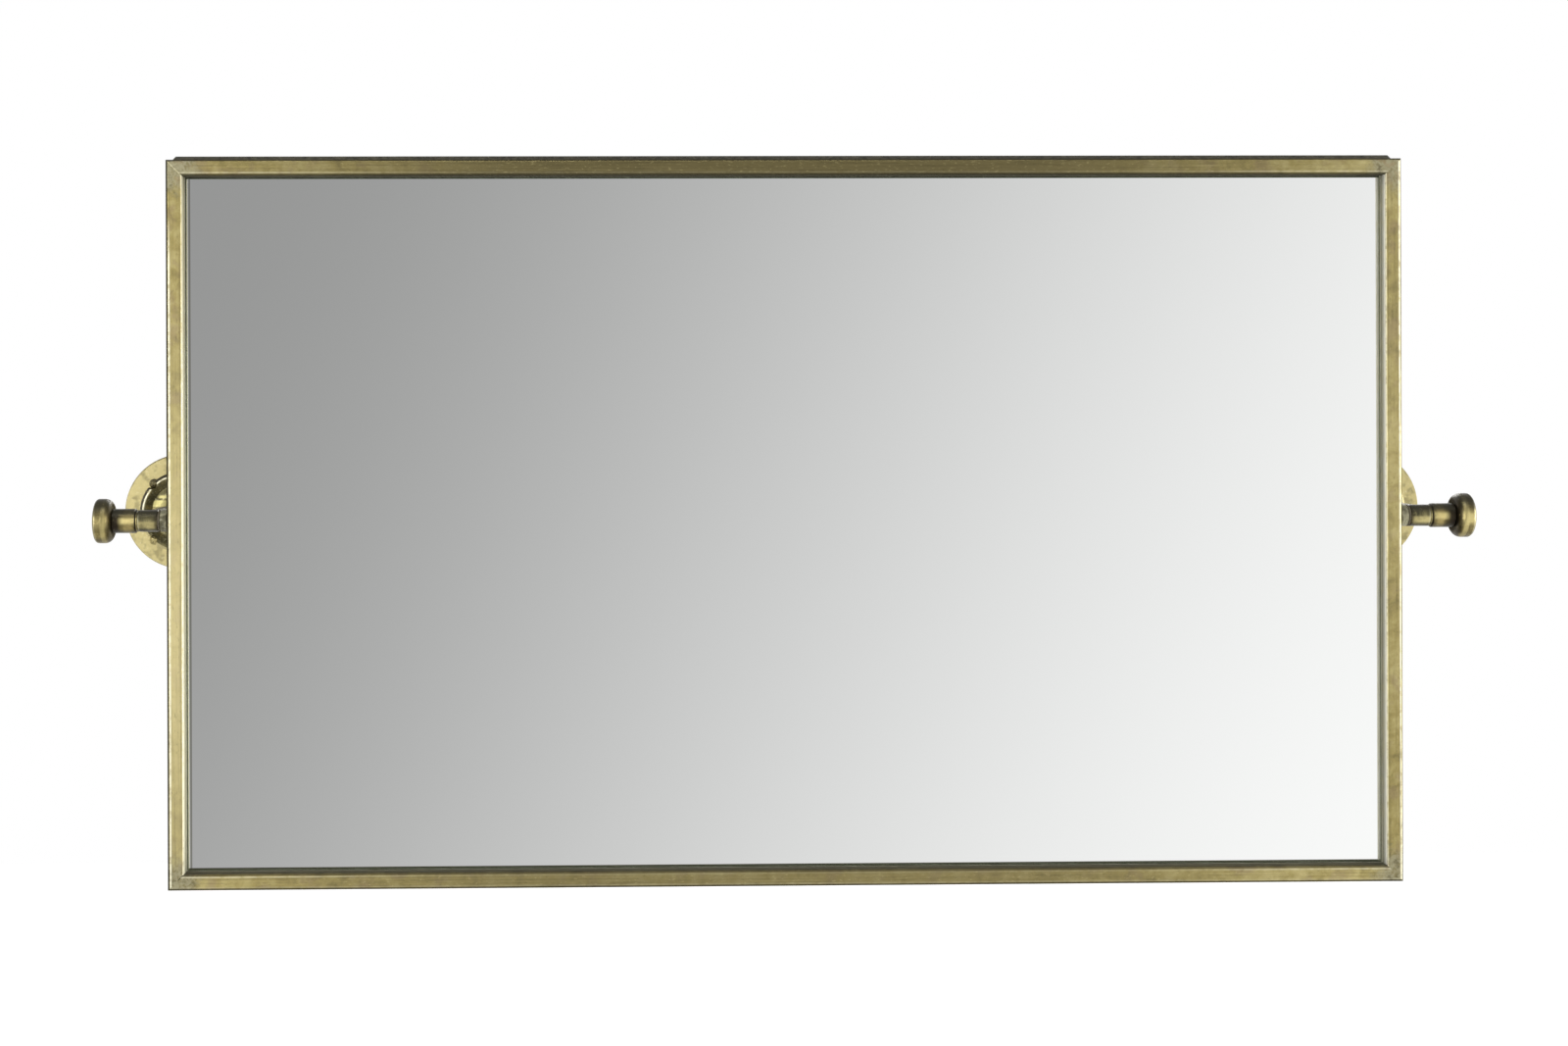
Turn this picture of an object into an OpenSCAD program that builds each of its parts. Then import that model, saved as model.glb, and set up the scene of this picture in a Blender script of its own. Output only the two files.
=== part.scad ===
// Pivot wall mirror: a framed rectangular mirror that tilts between two wall brackets.
// The wall is the plane y = 0, the mirror faces -Y, +Z is up, and the tilt axis runs along X.
// The origin lies on the wall, midway between the brackets, at the height of the tilt axis.

/* [Frame] */
// Width of the frame, outside to outside
frame_w = 800; // [500:1:1100]
// Height of the frame, outside to outside
frame_h = 470; // [300:1:700]
// Width of a bar's front face
bar_face = 10.5; // [9:0.5:14]
// Depth of a bar, front to back
bar_depth = 15; // [14.5:0.5:24]
// Wall thickness of the tube
bar_wall = 1.2; // [0.8:0.1:1.6]
// Rounding of the tube's long edges
bar_edge_r = 1.8; // [0.5:0.1:2.2]

/* [Glass] */
// Thickness of the glass
glass_t = 4; // [2:0.5:5]
// Chamfer ground along the front edges of the glass
glass_arris = 0.8; // [0.3:0.1:1.5]
// Gap between the glass edge and the bars
glass_gap = 0.4; // [0.2:0.1:1]
// Thickness of the foam tape behind the glass
tape_t = 1; // [0.5:0.1:2]
// Width of a strip of tape
tape_w = 25; // [12:1:40]
// Distance from the end of a strip to the edge of the glass
tape_inset = 20; // [5:1:60]
// Number of strips
tape_count = 4; // [2:1:6]

/* [Back panel] */
// Thickness of the back panel
panel_t = 3; // [2:0.5:6]
// How far the panel's sides and foot stay inside the frame
panel_inset = 0.3; // [0:0.1:3]
// How far the panel's top edge stands above the frame
panel_rise = 3.5; // [0:0.5:6]
// Cut-off at the panel's top corners
panel_corner = 3.5; // [1:0.5:6]
// Radius of a panel screw's thread
panel_screw_r = 1.5; // [1:0.1:1.8]
// Length of a panel screw below its head
panel_screw_len = 9; // [6:0.5:12]
// How far a panel screw's head reaches past its thread
panel_head_over = 1.5; // [0.8:0.1:2]
// Height of a panel screw's head
panel_head_h = 1.8; // [1:0.1:2.5]
// Distance from the last panel screws to the frame's outer corners
panel_screw_end = 60; // [30:1:100]
// Panel screws along the top bar, and along the bottom bar
panel_screw_count_across = 4; // [2:1:7]
// Panel screws along each side bar
panel_screw_count_up = 2; // [2:2:4]

/* [Pivot] */
// Height of the tilt axis above the middle of the frame
pivot_rise = 2.5; // [0:0.5:20]
// Radius of the threaded stud
stud_r = 4; // [2.5:0.5:4.5]
// How far the stud reaches into the knob's head
stud_in_head = 7; // [6:0.5:8]
// Wall of the boss inside the side bar, around the stud
boss_wall = 1.6; // [1:0.1:1.6]
// Wall of the boss's collar, around the stud
boss_collar_wall = 3; // [2:0.1:5]
// Length of the collar outside the side bar
boss_collar_len = 4.8; // [3:0.1:12]
// Width of the washers, around the stud
washer_wall = 3; // [2:0.1:5]
// Thickness of the friction washer between boss and barrel
inner_washer_t = 1.2; // [0.8:0.1:3]
// Thickness of the washer between barrel and knob
outer_washer_t = 1.2; // [0.8:0.1:3]

/* [Knob] */
// Radius of the knob's neck
neck_r = 7.8; // [7:0.1:9.5]
// Length of the neck between washer and head
neck_len = 14.9; // [6:0.1:30]
// Wall of the neck's spigot inside the head, around the stud
spigot_wall = 2; // [1:0.1:2.2]
// Length of the spigot
spigot_len = 5; // [4:0.5:6]
// Radius of the knob's head
head_r = 14.3; // [13:0.1:25]
// Length of the knob's head
head_len = 11.6; // [11:0.1:30]
// Rounding of the head's shoulder, towards the frame
head_shoulder_r = 5; // [2:0.1:5]
// Rounding of the head's outer edge
head_edge_r = 2; // [1:0.1:4]
// How far the head's outer face is domed
head_crown = 0.8; // [0.2:0.1:1.5]

/* [Bracket] */
// Distance from the wall to the tilt axis
wall_to_axis = 108; // [60:1:160]
// Radius of the post
post_r = 6.5; // [5.5:0.5:8]
// How much wider than the post the barrel is, all round
barrel_over = 0.5; // [0.1:0.1:3]
// How far each end of the barrel stands past the post
barrel_overhang = 0; // [0:0.5:8]
// Height of the flange's rim above the wall plate
flange_t = 9; // [8:0.5:24]
// Thickness of the hollow flange's walls
flange_wall = 3; // [2.5:0.1:4]
// How deep the notches for the wall screws' heads cut into the flange
flange_notch = 4.1; // [0.5:0.1:4.5]
// Rounding of the flange's rim
flange_rim_r = 2.5; // [1:0.1:3]
// Width of the flange's rim
flange_rim_w = 4; // [4:0.1:7]
// How deep the flange is dished inside its rim
flange_dish = 2; // [0.5:0.1:3]
// Width of the dish's flat floor, between the rim's slope and the flare
flange_floor_w = 2.5; // [0:0.5:5]
// Steepness of the flange's flare where it meets the post, in degrees
flange_flare = 60; // [40:5:70]
// Width of the wall plate's rim outside the heads of the wall screws
plate_margin = 8.9; // [3:0.1:20]
// Thickness of the wall plate
plate_t = 4; // [3.5:0.5:8]
// Bevel of the wall plate's rim
plate_bevel = 0.8; // [0.5:0.1:2.5]
// Radius of the screw that holds plate, flange and post
arm_screw_r = 3; // [2:0.5:3.5]
// How far that screw reaches into the post
arm_screw_len = 14; // [8:1:25]

/* [Wall screws] */
// Distance between neighbouring screws of one plate
screw_pitch = 39; // [38:0.5:60]
// Radius of a wall screw's shank
wall_screw_r = 2; // [1.5:0.1:3]
// How much thinner than its thread a wall screw is where it passes the wall plate
wall_screw_neck = 0.2; // [0.1:0.1:0.5]
// Length of a wall screw below its head
wall_screw_len = 40; // [25:1:70]
// How far a wall screw's head reaches past its shank
wall_head_over = 1.3; // [0.8:0.1:2]
// Height of a wall screw's head
wall_head_h = 2.4; // [1.5:0.1:3.5]

/* [Hidden] */
$fn = 96;

// Clearances
stud_fit = 0.08;       // stud in the barrel and in the knob, all round
thread_fit = 0.05;     // a thread in its own tapped hole, all round
seat_fit = 0.05;       // a turned end in its socket, all round
loose_fit = 0.3;       // a washer on the stud, a screw through a panel
hole_fit = 0.4;        // a wall screw in the wall plate
head_fit = 0.4;        // between a wall screw's head and the flange
axial_gap = 0.1;       // between faces that turn on each other
cut = 1;               // how far a cutting tool runs past what it cuts

// Radii that follow from what passes through or lies beside
boss_shank_r = stud_r + boss_wall;
boss_collar_r = stud_r + boss_collar_wall;
washer_r = stud_r + washer_wall;
spigot_r = stud_r + spigot_wall;
barrel_r = post_r + barrel_over;
barrel_len = 2 * (post_r + barrel_overhang);
panel_head_r = panel_screw_r + panel_head_over;
wall_head_r = wall_screw_r + wall_head_over;
screw_ring_r = screw_pitch / sqrt(2);
notch_r = wall_head_r + head_fit;
flange_r = screw_ring_r - notch_r + flange_notch;
plate_r = screw_ring_r + wall_head_r + plate_margin;

// Places along the tilt axis, measured from the middle of the mirror
side_face = frame_w / 2;
side_cavity = side_face - bar_face + bar_wall;
collar_end = side_face + boss_collar_len;
barrel_start = collar_end + inner_washer_t + axial_gap;
barrel_end = barrel_start + barrel_len;
washer_start = barrel_end + axial_gap;
neck_start = washer_start + outer_washer_t + axial_gap;
head_start = neck_start + neck_len;
stud_start = side_cavity + 1;
stud_end = head_start + stud_in_head;
post_x = (barrel_start + barrel_end) / 2;

// Rounding inside the tube, a wall's thickness within the outer one and never quite sharp
bar_cavity_r = max(bar_edge_r - bar_wall, 0.2);

// Places from front to back, measured from the middle of a bar's depth
bar_back = bar_depth / 2;
glass_back = bar_back - tape_t;
glass_front = glass_back - glass_t;
panel_back = bar_back + panel_t;

glass_w = frame_w - 2 * bar_face - 2 * glass_gap;
glass_h = frame_h - 2 * bar_face - 2 * glass_gap;

// Screw heads
slot_w = 0.9;          // width of a cross slot's arm
slot_depth = 1.1;
slot_share = 1.3;      // length of a cross slot, in head radii
head_rim_share = 0.3;  // height of a domed head's rim, in head heights
tip_len = 4;           // point of a wall screw
tip_r = 0.25;
arm_head_share = 1.8;  // a countersunk head's radius, in thread radii
arm_head_r = arm_screw_r * arm_head_share;
arm_head_h = arm_head_r - arm_screw_r;
arm_head_sink = 0.2;   // how far the countersunk head lies below the plate's back

// Small chamfers on turned ends
turned_chamfer = 0.5;
head_hole_room = 1;    // free depth past the end of the stud
arc_steps = 8;         // flats that stand for a quarter round in a turned outline
flange_slope = 2;      // width of the slope from the flange's rim into its dish
flare_top = 1;         // width of the flat ring at the top of the flange's flare

BRASS = [0.57, 0.52, 0.35];
PALE_BRASS = [0.68, 0.64, 0.47];
STEEL = [0.55, 0.55, 0.53];

// ---------------------------------------------------------------- helpers

// Points of an arc about (x, y), from angle a to angle b
function arc(x, y, r, a, b) =
    [for (i = [0 : arc_steps]) let (t = a + (b - a) * i / arc_steps) [x + r * cos(t), y + r * sin(t)]];

// Everything of the mirror is drawn about the middle of the frame
module in_mirror() {
    translate([0, -wall_to_axis, -pivot_rise]) children();
}

// A turned piece whose axis is the tilt axis, starting x from the middle and growing outwards
module on_axis(x) {
    translate([x, -wall_to_axis, 0]) rotate([0, 90, 0]) children();
}

// A turned piece that stands on the wall, on the post's axis, starting y in front of the wall
module on_post(y) {
    translate([post_x, -y, 0]) rotate([90, 0, 0]) children();
}

// The left-hand twin of a right-hand piece
module on_left() {
    mirror([1, 0, 0]) children();
}

module rounded_rectangle(w, h, r) {
    square([w - 2 * r, h], center = true);
    square([w, h - 2 * r], center = true);
    for (x = [-1, 1], y = [-1, 1]) {
        translate([x * (w / 2 - r), y * (h / 2 - r)]) circle(r = r, $fn = 32);
    }
}

// A round tube or washer with chamfered ends
module turned_tube(r, bore_r, length, chamfer) {
    rotate_extrude() polygon([
        [bore_r, 0],
        [r - chamfer, 0],
        [r, chamfer],
        [r, length - chamfer],
        [r - chamfer, length],
        [bore_r, length]
    ]);
}

// The cross slot in the middle of a screw's head, cut down from height h
module cross_slot(head_r, h) {
    for (a = [0, 90]) {
        rotate([0, 0, a]) translate([0, 0, h - slot_depth / 2 + cut / 2])
            cube([head_r * slot_share, slot_w, slot_depth + cut], center = true);
    }
}

// A screw head that sits on z = 0: a low rim and a dome, cut from a ball
module domed_head(r, h) {
    rim = h * head_rim_share;
    ball_r = (r * r + (h - rim) * (h - rim)) / (2 * (h - rim));
    difference() {
        intersection() {
            cylinder(r = r, h = h, $fn = 48);
            translate([0, 0, h - ball_r]) sphere(r = ball_r);
        }
        cross_slot(r, h);
    }
}

// ---------------------------------------------------------------- frame

// Hollow section, its face along the first axis and its depth along the second
module bar_section(face, depth) {
    difference() {
        rounded_rectangle(face, depth, bar_edge_r);
        rounded_rectangle(face - 2 * bar_wall, depth - 2 * bar_wall, bar_cavity_r);
    }
}

// The part of the frame's front that belongs to one bar: a half of the frame cut at 45 degrees.
// half_long reaches to the bar's outer face, half_side to its mitred ends.
module mitre(half_side, half_long) {
    rotate([90, 0, 0]) linear_extrude(height = bar_depth + 2 * cut, center = true) polygon([
        [-half_side, half_long],
        [half_side, half_long],
        [half_side - bar_face, half_long - bar_face],
        [-half_side + bar_face, half_long - bar_face]
    ]);
}

// Places of the panel screws along a bar of the given length
function spread(length, n) =
    [for (i = [0 : n - 1]) -(length / 2 - panel_screw_end) + i * (length - 2 * panel_screw_end) / (n - 1)];

module at_panel_screws_across(z) {
    for (x = spread(frame_w, panel_screw_count_across)) {
        translate([x, 0, z]) children();
    }
}

module at_panel_screws_up(x) {
    for (z = spread(frame_h, panel_screw_count_up)) {
        translate([x, 0, z]) children();
    }
}

// The pilot hole of a panel screw, through the bar's back wall
module pilot_hole() {
    translate([0, bar_back + cut, 0]) rotate([90, 0, 0])
        cylinder(r = panel_screw_r + thread_fit, h = bar_wall + 2 * cut, $fn = 32);
}

// A bar along X at the top of the frame
module upper_bar() {
    bar_z = frame_h / 2 - bar_face / 2;
    difference() {
        intersection() {
            translate([0, 0, bar_z]) rotate([90, 0, 90])
                linear_extrude(height = frame_w, center = true) bar_section(bar_depth, bar_face);
            mitre(frame_w / 2, frame_h / 2);
        }
        at_panel_screws_across(bar_z) pilot_hole();
    }
}

// A bar along Z at the right of the frame, with the hole for its boss
module side_bar() {
    bar_x = frame_w / 2 - bar_face / 2;
    difference() {
        intersection() {
            translate([bar_x, 0, 0])
                linear_extrude(height = frame_h, center = true) bar_section(bar_face, bar_depth);
            rotate([0, 90, 0]) mitre(frame_h / 2, frame_w / 2);
        }
        at_panel_screws_up(bar_x) pilot_hole();
        translate([bar_x, 0, pivot_rise]) rotate([0, 90, 0])
            cylinder(r = boss_shank_r + seat_fit, h = bar_face);
    }
}

module top_bar() {
    color(BRASS) in_mirror() upper_bar();
}

module bottom_bar() {
    color(BRASS) in_mirror() mirror([0, 0, 1]) upper_bar();
}

module right_bar() {
    color(BRASS) in_mirror() side_bar();
}

module left_bar() {
    color(BRASS) on_left() in_mirror() side_bar();
}

// ---------------------------------------------------------------- glass and back

// A slab along Z with both of its long front edges chamfered
module glass_slab(w, length) {
    linear_extrude(height = length, center = true) polygon([
        [-w / 2, glass_back],
        [w / 2, glass_back],
        [w / 2, glass_front + glass_arris],
        [w / 2 - glass_arris, glass_front],
        [-w / 2 + glass_arris, glass_front],
        [-w / 2, glass_front + glass_arris]
    ]);
}

module mirror_glass() {
    color([0.82, 0.82, 0.83]) in_mirror() intersection() {
        glass_slab(glass_w, glass_h);
        rotate([0, 90, 0]) glass_slab(glass_h, glass_w);
    }
}

module mounting_tape() {
    first = -glass_w / 2 + tape_inset + tape_w / 2;
    step = -2 * first / (tape_count - 1);
    color([0.15, 0.15, 0.15]) in_mirror() for (i = [0 : tape_count - 1]) {
        translate([first + i * step, glass_back + tape_t / 2, 0])
            cube([tape_w, tape_t, glass_h - 2 * tape_inset], center = true);
    }
}

module back_panel() {
    half_w = frame_w / 2 - panel_inset;
    top = frame_h / 2 + panel_rise;
    foot = -frame_h / 2 + panel_inset;
    screw_hole_r = panel_screw_r + loose_fit;
    color([0.16, 0.14, 0.12]) in_mirror() difference() {
        translate([0, panel_back, 0]) rotate([90, 0, 0]) linear_extrude(height = panel_t) polygon([
            [-half_w, foot],
            [half_w, foot],
            [half_w, top - panel_corner],
            [half_w - panel_corner, top],
            [-half_w + panel_corner, top],
            [-half_w, top - panel_corner]
        ]);
        at_panel_screws() translate([0, panel_back + cut, 0]) rotate([90, 0, 0])
            cylinder(r = screw_hole_r, h = panel_t + 2 * cut, $fn = 32);
    }
}

module at_panel_screws() {
    for (side = [-1, 1]) {
        at_panel_screws_across(side * (frame_h / 2 - bar_face / 2)) children();
        at_panel_screws_up(side * (frame_w / 2 - bar_face / 2)) children();
    }
}

module panel_screws() {
    color(PALE_BRASS) in_mirror() at_panel_screws() translate([0, panel_back, 0]) {
        rotate([-90, 0, 0]) domed_head(panel_head_r, panel_head_h);
        rotate([90, 0, 0]) cylinder(r = panel_screw_r, h = panel_screw_len, $fn = 32);
    }
}

// ---------------------------------------------------------------- pivot, right-hand pieces

// Round nut welded into the side bar, with a collar outside
module pivot_boss() {
    color(STEEL) difference() {
        union() {
            on_axis(side_cavity) cylinder(r = boss_shank_r, h = side_face - side_cavity + cut);
            on_axis(side_face) turned_tube(boss_collar_r, stud_r, boss_collar_len, turned_chamfer);
        }
        on_axis(side_cavity - cut)
            cylinder(r = stud_r + thread_fit, h = collar_end - side_cavity + 2 * cut);
    }
}

module pivot_stud() {
    color(STEEL) on_axis(stud_start) cylinder(r = stud_r, h = stud_end - stud_start);
}

module inner_washer() {
    color([0.30, 0.22, 0.16]) on_axis(collar_end)
        turned_tube(washer_r, stud_r + loose_fit, inner_washer_t, turned_chamfer / 2);
}

module outer_washer() {
    color(PALE_BRASS) on_axis(washer_start)
        turned_tube(washer_r, stud_r + loose_fit, outer_washer_t, turned_chamfer / 2);
}

module knob_neck() {
    color(BRASS) difference() {
        union() {
            on_axis(neck_start) turned_tube(neck_r, stud_r, neck_len, turned_chamfer);
            on_axis(head_start - cut) cylinder(r = spigot_r, h = spigot_len + cut);
        }
        on_axis(neck_start - cut) cylinder(r = stud_r + stud_fit, h = neck_len + spigot_len + 2 * cut);
    }
}

module knob_head() {
    rim = head_len - head_crown - head_edge_r;
    color(BRASS) on_axis(head_start) difference() {
        rotate_extrude() polygon(concat(
            [[0, 0]],
            arc(head_r - head_shoulder_r, head_shoulder_r, head_shoulder_r, -90, 0),
            arc(head_r - head_edge_r, rim, head_edge_r, 0, 90),
            [for (i = [1 : arc_steps]) let (share = 1 - i / arc_steps)
                [(head_r - head_edge_r) * share, head_len - head_crown * share * share]]
        ));
        translate([0, 0, -cut]) cylinder(r = spigot_r + seat_fit, h = spigot_len + seat_fit + cut);
        translate([0, 0, -cut]) cylinder(r = stud_r + loose_fit, h = stud_in_head + head_hole_room + cut);
    }
}

// ---------------------------------------------------------------- bracket, right-hand pieces

module at_wall_screws() {
    for (x = [-1, 1], z = [-1, 1]) {
        translate([x * screw_pitch / 2, z * screw_pitch / 2, 0]) children();
    }
}

module wall_plate() {
    rim = plate_t - plate_bevel;
    arm_hole_r = arm_screw_r + hole_fit;
    sink_r = arm_head_r + hole_fit + seat_fit;
    color(PALE_BRASS) on_post(0) difference() {
        union() {
            cylinder(r = plate_r, h = rim);
            translate([0, 0, rim]) cylinder(r1 = plate_r, r2 = plate_r - plate_bevel, h = plate_bevel);
        }
        at_wall_screws() translate([0, 0, -cut])
            cylinder(r = wall_screw_r + hole_fit, h = plate_t + 2 * cut, $fn = 48);
        translate([0, 0, -cut]) cylinder(r = arm_hole_r, h = plate_t + 2 * cut);
        translate([0, 0, -seat_fit]) cylinder(r1 = sink_r, r2 = arm_hole_r, h = arm_head_h + seat_fit);
    }
}

// The flange's outline: a rounded rim, a dish, and a flare that rises along the post
module flange_turned() {
    bore = post_r + seat_fit;
    floor_z = flange_t - flange_dish;
    flare_start = flange_r - flange_rim_w - flange_slope - flange_floor_w;
    flare_r = (flare_start - bore - flare_top) / sin(flange_flare);
    rotate_extrude() polygon(concat(
        [[bore, 0], [flange_r, 0]],
        arc(flange_r - flange_rim_r, flange_t - flange_rim_r, flange_rim_r, 0, 90),
        [[flange_r - flange_rim_w, flange_t]],
        arc(flare_start, floor_z + flare_r, flare_r, -90, -90 - flange_flare),
        [[bore, floor_z + flare_r * (1 - cos(flange_flare))]]
    ));
}

// The hollow behind the dish, with a wall left round each notch
module flange_hollow() {
    inner_r = post_r + seat_fit + flange_wall;
    depth = flange_t - flange_dish - flange_wall;
    difference() {
        translate([0, 0, -cut]) cylinder(r = flange_r - flange_wall, h = depth + cut);
        translate([0, 0, -2 * cut]) cylinder(r = inner_r, h = depth + 3 * cut);
        at_wall_screws() translate([0, 0, -2 * cut])
            cylinder(r = notch_r + flange_wall, h = depth + 3 * cut, $fn = 48);
    }
}

module flange() {
    color(BRASS) on_post(plate_t) difference() {
        flange_turned();
        flange_hollow();
        at_wall_screws() translate([0, 0, -cut]) cylinder(r = notch_r, h = flange_t + 2 * cut, $fn = 48);
    }
}

module post() {
    color(BRASS) difference() {
        on_post(plate_t) cylinder(r = post_r, h = wall_to_axis - plate_t);
        on_axis(barrel_start - cut) cylinder(r = barrel_r + seat_fit, h = barrel_len + 2 * cut);
        on_post(plate_t - cut) cylinder(r = arm_screw_r + thread_fit, h = arm_screw_len + 2 * cut);
    }
}

module barrel() {
    color(BRASS) on_axis(barrel_start) turned_tube(barrel_r, stud_r + stud_fit, barrel_len, turned_chamfer);
}

module arm_screw() {
    color(STEEL) on_post(arm_head_sink) {
        cylinder(r1 = arm_head_r, r2 = arm_screw_r, h = arm_head_h);
        cylinder(r = arm_screw_r, h = plate_t - arm_head_sink + arm_screw_len);
    }
}

module wall_screws() {
    color(PALE_BRASS) on_post(plate_t) at_wall_screws() {
        domed_head(wall_head_r, wall_head_h);
        rotate([180, 0, 0]) {
            cylinder(r = wall_screw_r - wall_screw_neck, h = plate_t, $fn = 48);
            translate([0, 0, plate_t])
                cylinder(r = wall_screw_r, h = wall_screw_len - tip_len - plate_t, $fn = 48);
            translate([0, 0, wall_screw_len - tip_len])
                cylinder(r1 = wall_screw_r, r2 = tip_r, h = tip_len, $fn = 48);
        }
    }
}

// ---------------------------------------------------------------- nodes

top_bar();
bottom_bar();
left_bar();
right_bar();
mirror_glass();
mounting_tape();
back_panel();
panel_screws();
on_left() pivot_boss();  // left_pivot_boss
pivot_boss();  // right_pivot_boss
on_left() pivot_stud();  // left_pivot_stud
pivot_stud();  // right_pivot_stud
on_left() inner_washer();  // left_inner_washer
inner_washer();  // right_inner_washer
on_left() outer_washer();  // left_outer_washer
outer_washer();  // right_outer_washer
on_left() knob_neck();  // left_knob_neck
knob_neck();  // right_knob_neck
on_left() knob_head();  // left_knob_head
knob_head();  // right_knob_head
on_left() wall_plate();  // left_wall_plate
wall_plate();  // right_wall_plate
on_left() flange();  // left_flange
flange();  // right_flange
on_left() post();  // left_post
post();  // right_post
on_left() barrel();  // left_barrel
barrel();  // right_barrel
on_left() arm_screw();  // left_arm_screw
arm_screw();  // right_arm_screw
on_left() wall_screws();  // left_wall_screws
wall_screws();  // right_wall_screws
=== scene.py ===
"""Looks of the pivot wall mirror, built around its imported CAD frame.

Metres; +X to the right along the tilt axis, +Y into the wall, +Z up.
"""

import math
from types import SimpleNamespace

import bpy
from mathutils import Matrix, Vector


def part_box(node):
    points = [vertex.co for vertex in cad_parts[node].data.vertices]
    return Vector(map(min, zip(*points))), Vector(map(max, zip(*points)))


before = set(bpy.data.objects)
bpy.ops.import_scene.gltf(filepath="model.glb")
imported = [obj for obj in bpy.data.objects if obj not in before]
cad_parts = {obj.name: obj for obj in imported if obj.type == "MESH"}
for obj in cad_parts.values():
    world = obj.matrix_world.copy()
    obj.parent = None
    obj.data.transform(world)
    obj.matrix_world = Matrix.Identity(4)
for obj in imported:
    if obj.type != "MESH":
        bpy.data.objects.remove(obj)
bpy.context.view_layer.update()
scene = bpy.context.scene

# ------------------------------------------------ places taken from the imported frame
MM = 0.001
SIDES = ("left", "right")
LEVEL_BARS = ("top", "bottom")
BARS = LEVEL_BARS + SIDES
BAR_LOW, BAR_HIGH = {}, {}
for bar in BARS:
    BAR_LOW[bar], BAR_HIGH[bar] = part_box(bar + "_bar")
# Each bar's outer and inner face: a height for the level bars, a place across for the upright ones.
OUTER_FACE = {"top": BAR_HIGH["top"][2], "bottom": BAR_LOW["bottom"][2],
              "left": BAR_LOW["left"][0], "right": BAR_HIGH["right"][0]}
INNER_FACE = {"top": BAR_LOW["top"][2], "bottom": BAR_HIGH["bottom"][2],
              "left": BAR_HIGH["left"][0], "right": BAR_LOW["right"][0]}
BAR_WIDTH = BAR_HIGH["left"][0] - BAR_LOW["left"][0]
FRAME_FRONT = BAR_LOW["top"][1]
FRAME_MIDDLE = (OUTER_FACE["top"] + OUTER_FACE["bottom"]) / 2
HALF_LENGTH = {"level": OUTER_FACE["right"],
               "upright": (OUTER_FACE["top"] - OUTER_FACE["bottom"]) / 2}
POST_LOW, POST_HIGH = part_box("right_post")
POST_X = (POST_LOW[0] + POST_HIGH[0]) / 2
FLANGE_LOW, FLANGE_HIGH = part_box("right_flange")
FLANGE_R = (FLANGE_HIGH[2] - FLANGE_LOW[2]) / 2
NECK_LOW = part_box("right_knob_neck")[0]
HEAD_LOW, HEAD_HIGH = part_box("right_knob_head")
BARREL_LOW, BARREL_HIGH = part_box("right_barrel")

# ------------------------------------------------ camera: the photograph's own view
IMAGE_SIZE = (1600, 1067)
SENSOR = 36.0                                 # mm, only the ratio to the lens counts
FOCAL_PIXELS = 2151.7
CAMERA_PLACE = (-0.1074, -1.4761, 0.0838)
CAMERA_YAW = -1.097                           # degrees, as the pitch and the roll
CAMERA_PITCH = -0.005
CAMERA_ROLL = -0.188
AXIS_PIXEL = (675.1, 397.4)                   # where the lens points, in the photograph
CLIP_START = 0.02


def add_camera():
    width, height = IMAGE_SIZE
    data = bpy.data.cameras.new("camera")
    data.sensor_width = SENSOR
    data.lens = FOCAL_PIXELS * SENSOR / width
    data.shift_x = (width / 2 - AXIS_PIXEL[0]) / width
    data.shift_y = (AXIS_PIXEL[1] - height / 2) / width
    data.clip_start = CLIP_START
    camera = bpy.data.objects.new("camera", data)
    turn = Matrix.Rotation(math.radians(CAMERA_YAW), 4, "Z")
    turn = turn @ Matrix.Rotation(math.radians(90 + CAMERA_PITCH), 4, "X")
    turn = turn @ Matrix.Rotation(math.radians(CAMERA_ROLL), 4, "Z")
    camera.matrix_world = Matrix.Translation(CAMERA_PLACE) @ turn
    scene.collection.objects.link(camera)
    scene.camera = camera


add_camera()


# ------------------------------------------------ tones
def light_value(level):
    """A screen level from 0 to 255 as a linear value."""
    v = level / 255
    return v / 12.92 if v <= 0.04045 else ((v + 0.055) / 1.055) ** 2.4


def tone(red, green, blue):
    return (light_value(red), light_value(green), light_value(blue), 1)


def grey(value):
    return (value, value, value, 1)


# Brass, from pale to dark: the palest also serve as painted highlights, the darkest also as painted
# shade.
EDGE_CREAM = tone(238, 233, 204)
CREAM = tone(226, 220, 182)
PALE_GOLD = tone(240, 226, 172)
STREAK_GOLD = tone(232, 216, 150)
GLEAM = tone(206, 196, 132)
NECK_GOLD = tone(206, 186, 122)
STRAW = tone(205, 192, 138)
GOLD = tone(166, 152, 98)
GROUND = tone(160, 156, 130)
ROSE = tone(150, 132, 104)
OLIVE = tone(118, 108, 74)
DEEP = tone(66, 60, 42)
RIM_SHADE = tone(58, 54, 42)
UP_DOWN_SHADE_TONE = tone(54, 51, 37)
NEAR_BLACK = tone(40, 38, 28)
JOINT_SHADE = tone(38, 32, 26)
# Dark, middle and pale brass of the turned pieces.
FLANGE_TONES = (tone(70, 66, 46), tone(104, 98, 66), GOLD)
KNOB_TONES = (tone(84, 76, 50), tone(126, 114, 72), tone(178, 162, 104))
BARREL_TONES = (tone(66, 64, 48), tone(108, 102, 72), tone(150, 142, 100))
RING_TONES = (tone(120, 112, 78), tone(168, 156, 108), STRAW)
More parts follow.
